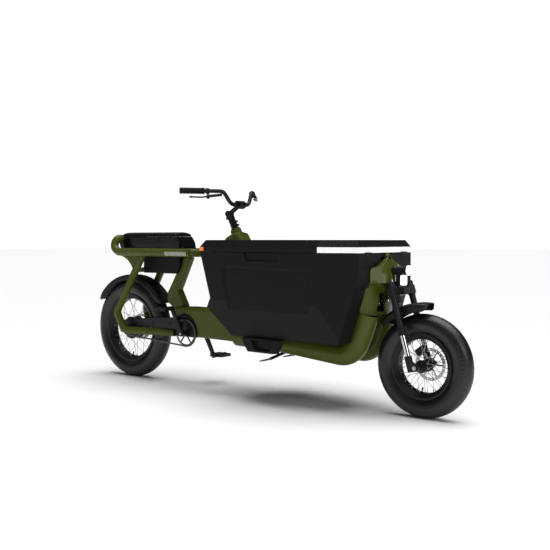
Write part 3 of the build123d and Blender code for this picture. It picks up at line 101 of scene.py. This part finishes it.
FILL_STRENGTH = 0.04
BACKDROP_STRENGTH = 1.1
world = bpy.data.worlds.new("studio")
bpy.context.scene.world = world
world.use_nodes = True
room = world.node_tree.nodes["Background"]
room.inputs["Color"].default_value = (1, 1, 1, 1)
rays = world.node_tree.nodes.new("ShaderNodeLightPath")
brightness = world.node_tree.nodes.new("ShaderNodeMapRange")
brightness.inputs["To Min"].default_value = FILL_STRENGTH
brightness.inputs["To Max"].default_value = BACKDROP_STRENGTH
world.node_tree.links.new(rays.outputs["Is Camera Ray"], brightness.inputs["Value"])
world.node_tree.links.new(brightness.outputs["Result"], room.inputs["Strength"])
bpy.context.scene.view_settings.view_transform = "Standard"


# ---------------------------------------------------------------- materials
class Shader:
    """A material under construction, with short calls for the nodes that the finishes share."""

    def __init__(self, name, color, roughness, **sockets):
        self.material = bpy.data.materials.new(name)
        self.material.use_nodes = True
        self.tree = self.material.node_tree
        self.shader = self.tree.nodes["Principled BSDF"]
        self.shader.inputs["Base Color"].default_value = (*color, 1)
        self.shader.inputs["Roughness"].default_value = roughness
        self.height = None
        for key, value in sockets.items():
            self.shader.inputs[key.replace("_", " ")].default_value = value
        self.place = self.node("ShaderNodeTexCoord").outputs["Object"]

    def node(self, kind, **inputs):
        made = self.tree.nodes.new(kind)
        for key, value in inputs.items():
            made.inputs[key.replace("_", " ")].default_value = value
        return made

    def link(self, source, target):
        self.tree.links.new(source, target)

    def noise(self, scale, detail=3.0, rough=0.5):
        made = self.node("ShaderNodeTexNoise", Scale=scale, Detail=detail, Roughness=rough)
        self.link(self.place, made.inputs["Vector"])
        return made.outputs["Fac"]

    def cells(self, scale):
        made = self.node("ShaderNodeTexVoronoi", Scale=scale)
        self.link(self.place, made.inputs["Vector"])
        return made.outputs["Distance"]

    def span(self, source, low, high, out_low, out_high):
        made = self.node("ShaderNodeMapRange")
        made.inputs["From Min"].default_value = low
        made.inputs["From Max"].default_value = high
        made.inputs["To Min"].default_value = out_low
        made.inputs["To Max"].default_value = out_high
        self.link(source, made.inputs["Value"])
        return made.outputs["Result"]

    def vary_color(self, factor, other):
        """Mixes the colour so far with another one by a factor."""
        made = self.tree.nodes.new("ShaderNodeMix")
        made.data_type = "RGBA"
        base = self.shader.inputs["Base Color"]
        if base.is_linked:
            self.link(base.links[0].from_socket, made.inputs["A"])
        else:
            made.inputs["A"].default_value = base.default_value
        made.inputs["B"].default_value = (*other, 1)
        self.link(factor, made.inputs["Factor"])
        self.link(made.outputs["Result"], base)

    def vary_roughness(self, source, low, high, out_low, out_high):
        self.link(self.span(source, low, high, out_low, out_high), self.shader.inputs["Roughness"])

    def bump(self, source, distance, strength=1.0):
        made = self.node("ShaderNodeBump", Strength=strength, Distance=distance)
        self.link(source, made.inputs["Height"])
        if self.height is not None:
            self.link(self.height, made.inputs["Normal"])
        self.height = made.outputs["Normal"]
        self.link(self.height, self.shader.inputs["Normal"])

    def soft_edges(self, radius):
        """Rounds sharp edges in the light, as on any cast or pressed part."""
        made = self.tree.nodes.new("ShaderNodeBevel")
        made.samples = 6
        made.inputs["Radius"].default_value = radius
        self.height = made.outputs["Normal"]
        self.link(self.height, self.shader.inputs["Normal"])

    def edge_wear(self, other, amount=0.5, reach=0.004):
        """Lightens the edges that hands and shoes rub, where a rounded normal leaves the true one."""
        rounded = self.tree.nodes.new("ShaderNodeBevel")
        rounded.samples = 4
        rounded.inputs["Radius"].default_value = reach
        geometry = self.tree.nodes.new("ShaderNodeNewGeometry")
        likeness = self.tree.nodes.new("ShaderNodeVectorMath")
        likeness.operation = "DOT_PRODUCT"
        self.link(rounded.outputs["Normal"], likeness.inputs[0])
        self.link(geometry.outputs["Normal"], likeness.inputs[1])
        edge = self.span(likeness.outputs["Value"], 0.97, 0.8, 0.0, amount)
        patchy = self.tree.nodes.new("ShaderNodeMath")
        patchy.operation = "MULTIPLY"
        self.link(edge, patchy.inputs[0])
        self.link(self.span(self.noise(38, 4), 0.38, 0.6, 0.0, 1.0), patchy.inputs[1])
        self.vary_color(patchy.outputs["Value"], other)


def paint(name, color, roughness, coat, rise=0.0):
    """Soft-gloss enamel over metal, with orange peel and a little dust."""
    made = Shader(name, color, roughness, Coat_Weight=coat, Coat_Roughness=0.2, Specular_IOR_Level=0.16)
    if rise:
        made.soft_edges(rise)
    lighter = tuple(min(1, c * 1.14 + 0.002) for c in color)
    made.vary_color(made.span(made.noise(4.5, 4), 0.35, 0.75, 0.0, 0.5), lighter)
    darker = tuple(c * 0.88 for c in color)
    made.vary_color(made.span(made.noise(90, 2), 0.45, 0.7, 0.0, 0.3), darker)
    made.edge_wear(tuple(min(1, c * 1.7 + 0.015) for c in color), 0.3)
    made.vary_roughness(made.noise(26, 5), 0.3, 0.7, roughness - 0.04, roughness + 0.07)
    made.bump(made.noise(620, 1), 0.00006, 0.35)
    return made.material


def moulded(name, color, roughness, grain, depth, rise=0.0, blotch=0.25, **sockets):
    """Moulded plastic or rubber with a fine pebbled grain."""
    made = Shader(name, color, roughness, **sockets)
    if rise:
        made.soft_edges(rise)
    lighter = tuple(min(1, c * 1.35 + 0.001) for c in color)
    made.vary_color(made.span(made.noise(3.5, 5), 0.4, 0.75, 0.0, blotch), lighter)
    made.edge_wear(tuple(min(1, c * 2.6 + 0.006) for c in color), 0.5)
    made.vary_roughness(made.noise(34, 4), 0.3, 0.72, roughness - 0.04, roughness + 0.06)
    made.bump(made.cells(grain), depth, 0.5)
    return made.material


def bare_metal(name, color, roughness, scratch=900):
    """Turned or brushed metal with fine marks."""
    made = Shader(name, color, roughness, Metallic=1.0)
    stretch = made.node("ShaderNodeMapping")
    stretch.inputs["Scale"].default_value = (1.0, 22.0, 1.0)
    made.link(made.place, stretch.inputs["Vector"])
    marks = made.node("ShaderNodeTexNoise", Scale=scratch / 10, Detail=4)
    made.link(stretch.outputs["Vector"], marks.inputs["Vector"])
    made.vary_roughness(marks.outputs["Fac"], 0.3, 0.7, max(0.03, roughness - 0.06), roughness + 0.08)
    made.vary_color(made.span(made.noise(40, 3), 0.5, 0.8, 0.0, 0.35), tuple(c * 0.7 for c in color))
    made.bump(marks.outputs["Fac"], 0.00004, 0.4)
    return made.material


def glowing(name, color, strength):
    """A part that gives off light, with fine moulded prisms: a lamp's lit lens, and also the white band,
    whose glow is painted light.
    """
    made = Shader(name, color, 0.12, Coat_Weight=0.6)
    made.shader.inputs["Emission Color"].default_value = (*color, 1)
    made.shader.inputs["Emission Strength"].default_value = strength
    made.vary_color(made.span(made.noise(60, 2), 0.4, 0.7, 0.0, 0.2), tuple(c * 0.9 for c in color))
    made.bump(made.cells(420), 0.0002, 0.4)
    return made.material


OLIVE = (0.07, 0.088, 0.0095)
BLACK = (0.0062, 0.0062, 0.0065)
MATERIALS = {
    "olive_paint": paint("olive_enamel", OLIVE, 0.34, 0.1, 0.003),
    "olive_gloss": paint("olive_gloss_enamel", (0.07, 0.09, 0.012), 0.14, 1.0, 0.003),
    "black_metal": moulded(
        "black_powder_coat", BLACK, 0.4, 1500, 0.00008, 0.0012, Specular_IOR_Level=0.3
    ),
    "box_plastic": moulded(
        "box_shell", (0.0068, 0.0068, 0.007), 0.48, 1100, 0.0001, 0.004, Specular_IOR_Level=0.16
    ),
    "gloss_plastic": moulded(
        "seat_base_gloss", (0.003, 0.003, 0.0033), 0.14, 500, 0.00002, 0.004, Specular_IOR_Level=0.4
    ),
    "tyre": moulded("tyre_rubber", (0.004, 0.004, 0.0042), 0.38, 900, 0.00006, Specular_IOR_Level=0.5),
    "grip_rubber": moulded("grip_rubber", BLACK, 0.7, 700, 0.0003, Specular_IOR_Level=0.2),
    "seat_skin": moulded("seat_skin", (0.0018, 0.0018, 0.0018), 0.5, 800, 0.0002, Specular_IOR_Level=0.2),
    # The white band is no lamp: its emission is a painted glow that lifts it to full white.
    "white_plastic": glowing("white_band_painted_glow", (0.93, 0.93, 0.925), 0.28),
    "lens": glowing("lit_lens", (1.0, 1.0, 1.0), 1.4),
    "orange_lens": glowing("orange_lens", (0.95, 0.22, 0.03), 0.35),
    "chrome": bare_metal("hard_chrome", (0.62, 0.62, 0.63), 0.09, 500),
    "steel": bare_metal("bright_steel", (0.42, 0.42, 0.44), 0.27),
    "chain_steel": bare_metal("oiled_steel", (0.09, 0.088, 0.085), 0.38),
}
slot_of = {part["node"]: part["material_slot"] for part in frame["record"]["subparts"]}
for node, obj in frame["nodes"].items():
    for holder in obj.material_slots:
        holder.material = MATERIALS[slot_of[node]]

# ---------------------------------------------------------------- mesh helpers
FORK_LEAN = math.radians(16)
FORK_BASE = Vector((0.8537, 0, 0.643))
REAR_AXLE = Vector((-0.984, 0, 0.303))
FRONT_AXLE = Vector((1.037, 0, 0.25))


def leaning(base, lean, forward, side, along):
    """A point in millimetres ahead of, beside and up a leaning axis, in metres."""
    return base + Vector((
        forward * math.cos(lean) - along * math.sin(lean),
        side,
        forward * math.sin(lean) + along * math.cos(lean),
    )) / 1000


class Mesh:
    """Collects faces for one piece and makes its object."""

    def __init__(self):
        self.points = []
        self.faces = []

    def grid(self, rows, wrap_rows=False, wrap_columns=False):
        """Quads between rows of points, each row as long as the others."""
        start = len(self.points)
        width = len(rows[0])
        for row in rows:
            self.points.extend(tuple(point) for point in row)
        for i in range(len(rows) - (not wrap_rows)):
            for j in range(width - (not wrap_columns)):
                a = start + i * width + j
                b = start + i * width + (j + 1) % width
                c = start + ((i + 1) % len(rows)) * width + (j + 1) % width
                d = start + ((i + 1) % len(rows)) * width + j
                self.faces.append((a, b, c, d))
        return start

    def cap(self, start, count, flip=False):
        """One face over a ring of points."""
        ring = tuple(range(start, start + count))
        self.faces.append(ring[::-1] if flip else ring)

    def turned(self, low, high, profile, segments=24):
        """A turned form along an axis: profile is (share of the length, radius) pairs."""
        low, high = Vector(low), Vector(high)
        run = high - low
        side = run.orthogonal().normalized()
        other = run.normalized().cross(side)
        rows = []
        for share, radius in profile:
            centre = low + run * share
            rows.append([
                centre + (side * math.cos(t) + other * math.sin(t)) * radius
                for t in np.linspace(0, 2 * math.pi, segments, endpoint=False)
            ])
        start = self.grid(rows, wrap_columns=True)
        self.cap(start, segments, flip=True)
        self.cap(start + (len(rows) - 1) * segments, segments)

    def bolt(self, foot, aim, radius, height):
        """A cap screw with a chamfered head and a socket."""
        foot, aim = Vector(foot), Vector(aim).normalized()
        profile = [
            (0, radius), (0.8, radius), (1.0, radius * 0.85), (1.0, radius * 0.5), (0.55, radius * 0.47)
        ]
        self.turned(foot, foot + aim * height, profile, 12)

    def make(self, name, material, body, smooth=40):
        """The finished object, riding on a body, with a finish and its edges above an angle kept sharp."""
        mesh = bpy.data.meshes.new(name)
        mesh.from_pydata(self.points, [], self.faces)
        mesh.validate()
        made = bmesh.new()
        made.from_mesh(mesh)
        bmesh.ops.recalc_face_normals(made, faces=made.faces)
        made.to_mesh(mesh)
        made.free()
        obj = bpy.data.objects.new(name, mesh)
        bpy.context.collection.objects.link(obj)
        mesh.materials.append(MATERIALS[material] if isinstance(material, str) else material)
        mesh.shade_smooth()
        mesh.set_sharp_from_angle(angle=math.radians(smooth))
        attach(obj, body)
        return obj


# ---------------------------------------------------------------- tyres
TYRE_HALF = 0.05
TYRE_TURNS = 640
TYRE_COUNT = 62


def tyre_profile(outer, bead, count):
    """Evenly spaced points round a fat tyre's outside: (radius, side, distance from the crown)."""
    middle = outer - TYRE_HALF
    reach = middle - (bead + 0.009)
    drop = 0.015
    bend = (reach * reach + drop * drop) / (2 * drop)
    crown = [
        (middle + TYRE_HALF * math.cos(t), TYRE_HALF * math.sin(t))
        for t in np.linspace(0, math.pi / 2, 60)
    ]
    wall = []
    for t in np.linspace(0, math.asin(reach / bend), 40)[1:]:
        wall.append((middle - bend * math.sin(t), TYRE_HALF - bend * (1 - math.cos(t))))
    half = np.array(crown + wall + [(bead + 0.001, 0.035)])
    steps = np.r_[0, np.cumsum(np.hypot(*np.diff(half, axis=0).T))]
    even = np.linspace(0, steps[-1], count)
    radius = np.interp(even, steps, half[:, 0])
    side = np.interp(even, steps, half[:, 1])
    return radius, side, even


def groove(value, width, edge):
    """How deep a groove is at a distance from its middle, from 0 to 1."""
    return np.clip((width / 2 + edge - np.abs(value)) / edge, 0, 1)


def window(value, low, high, edge):
    """A window that is 1 from low to high and fades to 0 over an edge on each side."""
    return np.clip((value - low) / edge, 0, 1) * np.clip((high - value) / edge, 0, 1)


def make_tyre(name, node, body, axle, outer, bead, lugs, depth):
    """A fat tyre whose tread is cut by a share of its full depth."""
    count = TYRE_COUNT
    radius, side, far = tyre_profile(outer, bead, count)
    angle = np.linspace(0, 2 * math.pi, TYRE_TURNS, endpoint=False)
    along, across = np.meshgrid(angle, far, indexing="ij")
    phase = along / (2 * math.pi) * lugs
    rows = {}
    for sign in (1, -1):
        shift = 0.5 if sign < 0 else 0.0
        cut = np.zeros_like(along)
        chevron = (phase + shift + across * 26) % 1 - 0.5
        inside = window(across, 0.007, 0.050, 0.002)
        cut = np.maximum(cut, groove(chevron, 0.16, 0.06) * inside * 0.0022 * depth)
        cut = np.maximum(cut, groove(across - 0.0245, 0.002, 0.0012) * 0.0018 * depth)
        block = (phase + shift + 0.3) % 1 - 0.5
        shoulder = window(across, 0.052, 0.069, 0.0015)
        cut = np.maximum(cut, groove(block, 0.24, 0.08) * shoulder * 0.0024 * depth)
        cut = np.maximum(cut, groove(across - 0.0505, 0.0014, 0.0012) * 0.0014 * depth)
        for ring in (0.085, 0.0885):
            cut = np.maximum(cut, groove(across - ring, 0.0006, 0.0012) * 0.0007)
        rows[sign] = cut
    normal_r = np.gradient(side)
    normal_y = -np.gradient(radius)
    size = np.hypot(normal_r, normal_y)
    normal_r, normal_y = normal_r / size, normal_y / size
    mesh = Mesh()
    grid = []
    lip = [(bead + 0.0015, 0.0305), (bead + 0.012, 0.0300)]
    for i, turn in enumerate(angle):
        ring = lip[::-1]
        for j in range(count - 1, -1, -1):
            cut = rows[1][i, j]
            ring.append((radius[j] - normal_r[j] * cut, side[j] - normal_y[j] * cut))
        for j in range(1, count):
            cut = rows[-1][i, j]
            ring.append((radius[j] - normal_r[j] * cut, -side[j] + normal_y[j] * cut))
        ring += [(r, -y) for r, y in lip]
        grid.append([
            (axle.x + r * math.cos(turn), axle.y + y, axle.z + r * math.sin(turn)) for r, y in ring
        ])
    mesh.grid(grid, wrap_rows=True)
    tyre = mesh.make(name, "tyre", body, smooth=50)
    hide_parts(node)


make_tyre("rear_tyre_treaded", "rear_tyre", "rear_wheel", REAR_AXLE, 0.303, 0.203, 84, 0.4)
make_tyre("front_tyre_treaded", "front_tyre", "front_wheel", FRONT_AXLE, 0.250, 0.1525, 70, 0.22)


# ---------------------------------------------------------------- seat pad
PAD_PITCH = 0.0268
PAD_ROWS = 220
PAD_HALF = 0.0675
PAD_FOOT = 0.0003


def make_seat_pad():
    """A ribbed foam pad under a stretched skin, moulded with a channel every 27 mm."""
    low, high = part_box("seat_cushion")
    rear, front = low[0], high[0]
    foot = low[2] + PAD_FOOT
    mesh = Mesh()
    rows = []
    for x in np.linspace(rear, front, PAD_ROWS):
        into_rear = (x - rear) / 0.022
        into_front = (front - x) / 0.013
        rise = min(1.0, into_rear, into_front)
        rise = math.sin(rise * math.pi / 2)
        channel = abs(math.cos(math.pi * (x - front) / PAD_PITCH))
        swell = 1 - (1 - channel) ** 2.2
        top = low[2] + 0.004 + (high[2] - low[2] - 0.004) * rise * (0.84 + 0.16 * swell)
        half = PAD_HALF + 0.0022 * swell - 0.006 * (1 - rise)
        ring = []
        for turn in np.linspace(-math.pi / 2, math.pi / 2, 15):
            share = math.sin(turn)
            bulge = max(math.cos(turn), 0) ** 0.3
            crown = top - 0.0035 * abs(share) ** 2.5
            ring.append((x, half * share, foot + (crown - low[2]) * bulge))
        ring += [(x, half * share, foot) for share in (0.9, 0.45, 0.0, -0.45, -0.9)]
        rows.append(ring)
    start = mesh.grid(rows, wrap_columns=True)
    width = len(rows[0])
    mesh.cap(start, width, flip=True)
    mesh.cap(start + (PAD_ROWS - 1) * width, width)
    pad = mesh.make("seat_pad", "seat_skin", "frame", smooth=60)
    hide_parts("seat_cushion")


make_seat_pad()


# ---------------------------------------------------------------- mudguards
GUARD_CROWN = 0.022
GUARD_WALL = 0.003
GUARD_TIP = 0.1


def make_mudguard(name, body, axle, outer, half, skirt, start, end):
    """A moulded mudguard with full skirts, a thin wall and round tips."""
    section = []
    for turn in np.linspace(0, math.pi, 25):
        side = math.cos(turn)
        section.append((
            outer - GUARD_CROWN * (1 - abs(math.sin(turn)) ** 0.55),
            half * abs(side) ** 0.6 * (1 if side > 0 else -1),
        ))
    outline = [(outer - skirt, half)] + section + [(outer - skirt, -half)]
    mesh = Mesh()
    rows = []
    for share in np.linspace(0, 1, 90):
        angle = math.radians(start + (end - start) * share)
        near_tip = min(share, 1 - share) / GUARD_TIP
        round_off = math.sqrt(max(0.0, 1 - (1 - min(1.0, near_tip)) ** 2))
        width = 0.55 + 0.45 * round_off
        depth = 0.25 + 0.75 * round_off
        ring = []
        for r, y in outline:
            r = outer - (outer - r) * depth
            ring.append((r, y * width))
        for r, y in outline[::-1]:
            r = outer - (outer - r) * depth
            thick = GUARD_WALL if abs(y) < half * 0.93 else 0.0004
            ring.append((r - thick, (abs(y) - 0.0028) * width * np.sign(y)))
        rows.append([
            (axle.x + r * math.cos(angle), axle.y + y, axle.z + r * math.sin(angle)) for r, y in ring
        ])
    first = mesh.grid(rows, wrap_columns=True)
    width = len(rows[0])
    mesh.cap(first, width, flip=True)
    mesh.cap(first + (len(rows) - 1) * width, width)
    return mesh.make(name, "black_metal", body, smooth=60)


def fit_mudguards():
    """Both mudguards, and the post that holds the front one to the fork crown."""
    rear = make_mudguard("rear_mudguard", "frame", REAR_AXLE, 0.332, 0.058, 0.036, 30, 150)
    front = make_mudguard("front_mudguard", "fork", FRONT_AXLE, 0.304, 0.056, 0.042, 84, 139)
    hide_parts("rear_fender")
    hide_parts("front_fender")
    stay = Mesh()
    top, foot = (leaning(FORK_BASE, FORK_LEAN, 16, 0, along) for along in (-70, -108))
    stay.turned(top, foot, [(0, 0.013), (0.15, 0.011), (1, 0.011)])
    stay.make("mudguard_post", "black_metal", "fork")


fit_mudguards()


# ---------------------------------------------------------------- small fittings
RAIL_SIDE = 0.130
RAIL_HEIGHT = 0.776
STRIP_RADIUS = 0.0243
LID_BOLT_HEIGHT = 0.8325
CRANK_AXIS = Vector((-0.484, 0, 0.306))
SPOKES = 36
VALVE_ANGLE = math.radians(265)
LEG_FORWARD = 44
LEG_SIDE = 92


def make_rail_strips():
    """A pale strip, 0.4 mm thick, over the upper outside of each seat rail, and the collar in front of it.
    """
    # The pale strip is a lighter patch laid over the olive paint of the rail.
    pale = moulded("pale_strip_finish", (0.30, 0.33, 0.24), 0.3, 1800, 0.00003, Specular_IOR_Level=0.5)
    for side, hand in ((-1, "right"), (1, "left")):
        strip_mesh = Mesh()
        rows = []
        for x in np.linspace(-0.562, -0.392, 24):
            row = []
            for turn in np.linspace(math.radians(-46), math.radians(12), 12):
                out = RAIL_SIDE + STRIP_RADIUS * math.cos(turn)
                row.append((x, side * out, RAIL_HEIGHT + STRIP_RADIUS * math.sin(turn)))
            rows.append(row)
        strip_mesh.grid(rows)
        strip = strip_mesh.make(f"pale_rail_strip_{hand}", pale, "frame")
        thick = strip.modifiers.new("thickness", "SOLIDIFY")
        thick.thickness = 0.0004
        ring = Mesh()
        ring.turned(
            (-0.383, side * RAIL_SIDE, RAIL_HEIGHT), (-0.371, side * RAIL_SIDE, RAIL_HEIGHT),
            [(0, 0.0242), (0.12, 0.0256), (0.88, 0.0256), (1, 0.0242)], 48,
        )
        ring.make(f"rail_collar_{hand}", "olive_paint", "frame")


def make_bolts():
    """Cap screws on the lid's chamfer and at the ends of the crank spindle."""
    lid = Mesh()
    for side in (-1, 1):
        out = (0, side * 0.84, 0.54)
        for x in (0.05, 0.30, 0.553):
            lid.bolt((x, side * 0.2885, LID_BOLT_HEIGHT), out, 0.005, 0.0028)
        lid.bolt((0.716, side * 0.2655, LID_BOLT_HEIGHT), (0.2, side * 0.82, 0.54), 0.005, 0.0028)
        lid.bolt((0.8095, side * 0.13, LID_BOLT_HEIGHT), (0.84, 0, 0.54), 0.005, 0.0028)
    lid.make("lid_screws", "black_metal", "lid")
    crank = Mesh()
    for side in (-1, 1):
        crank.bolt(CRANK_AXIS + Vector((0, side * 0.1042, 0)), (0, side, 0), 0.0085, 0.004)
    crank.make("crank_bolts", "steel", "crank")


def make_nipples(name, body, axle, radius):
    """A nipple where each spoke meets the rim."""
    made = Mesh()
    for number in range(SPOKES):
        side = 1 if number % 2 else -1
        out = math.radians(number * 10)
        aim = Vector((math.cos(out), -side * 0.05, math.sin(out))).normalized()
        foot = axle + Vector((radius * math.cos(out), side * 0.009, radius * math.sin(out)))
        profile = [(0, 0.0019), (0.1, 0.0023), (0.8, 0.0023), (1, 0.0034)]
        made.turned(foot - aim * 0.012, foot, profile, 10)
    made.make(name, "steel", body, smooth=50)


def make_valve(name, body, axle, radius):
    """An air valve with its cap on, pointing to the hub."""
    made = Mesh()
    aim = Vector((math.cos(VALVE_ANGLE), 0, math.sin(VALVE_ANGLE)))
    foot = axle + aim * radius
    profile = [(0, 0.0045), (0.2, 0.0032), (0.5, 0.0032), (0.52, 0.0045), (0.96, 0.0045), (1, 0.003)]
    made.turned(foot, foot - aim * 0.026, profile, 14)
    made.make(name, "grip_rubber", body, smooth=30)


def make_leg_seals():
    """The collar and wiper seal at the bottom of each fork leg, and its top cap."""
    seals = Mesh()
    caps = Mesh()
    for side in (-1, 1):
        def leg(along):
            return leaning(FORK_BASE, FORK_LEAN, LEG_FORWARD, side * LEG_SIDE, along)

        wiper = [(0, 0.0165), (0.2, 0.0195), (1, 0.0195)]
        collar = [(0, 0.0176), (0.25, 0.0192), (0.75, 0.0192), (1, 0.0176)]
        cap = [(0, 0.016), (0.7, 0.016), (1, 0.0135), (1, 0.006), (0.4, 0.005)]
        seals.turned(leg(-266), leg(-258), wiper, 32)
        seals.turned(leg(-236), leg(-228), collar, 32)
        caps.turned(leg(-11.2), leg(-6), cap, 24)
    seals.make("fork_seals", "grip_rubber", "fork")
    caps.make("fork_caps", "black_metal", "fork")


make_rail_strips()
make_bolts()
make_nipples("rear_nipples", "rear_wheel", REAR_AXLE, 0.1815)
make_nipples("front_nipples", "front_wheel", FRONT_AXLE, 0.1310)
make_valve("rear_valve", "rear_wheel", REAR_AXLE, 0.181)
make_valve("front_valve", "front_wheel", FRONT_AXLE, 0.1305)
make_leg_seals()


# ---------------------------------------------------------------- floor
floor_mesh = bpy.data.meshes.new("floor")
FLOOR_HALF = 60
corners = [(x * FLOOR_HALF, y * FLOOR_HALF, 0) for x, y in ((-1, -1), (1, -1), (1, 1), (-1, 1))]
floor_mesh.from_pydata(corners, [], [(0, 1, 2, 3)])
floor = bpy.data.objects.new("floor", floor_mesh)
bpy.context.collection.objects.link(floor)
pale_floor = Shader("pale_floor", (0.95, 0.95, 0.95), 0.9)
patches = pale_floor.span(pale_floor.noise(1.5, 2), 0.3, 0.7, 0.0, 0.2)
pale_floor.vary_color(patches, (0.93, 0.93, 0.93))
floor.data.materials.append(pale_floor.material)
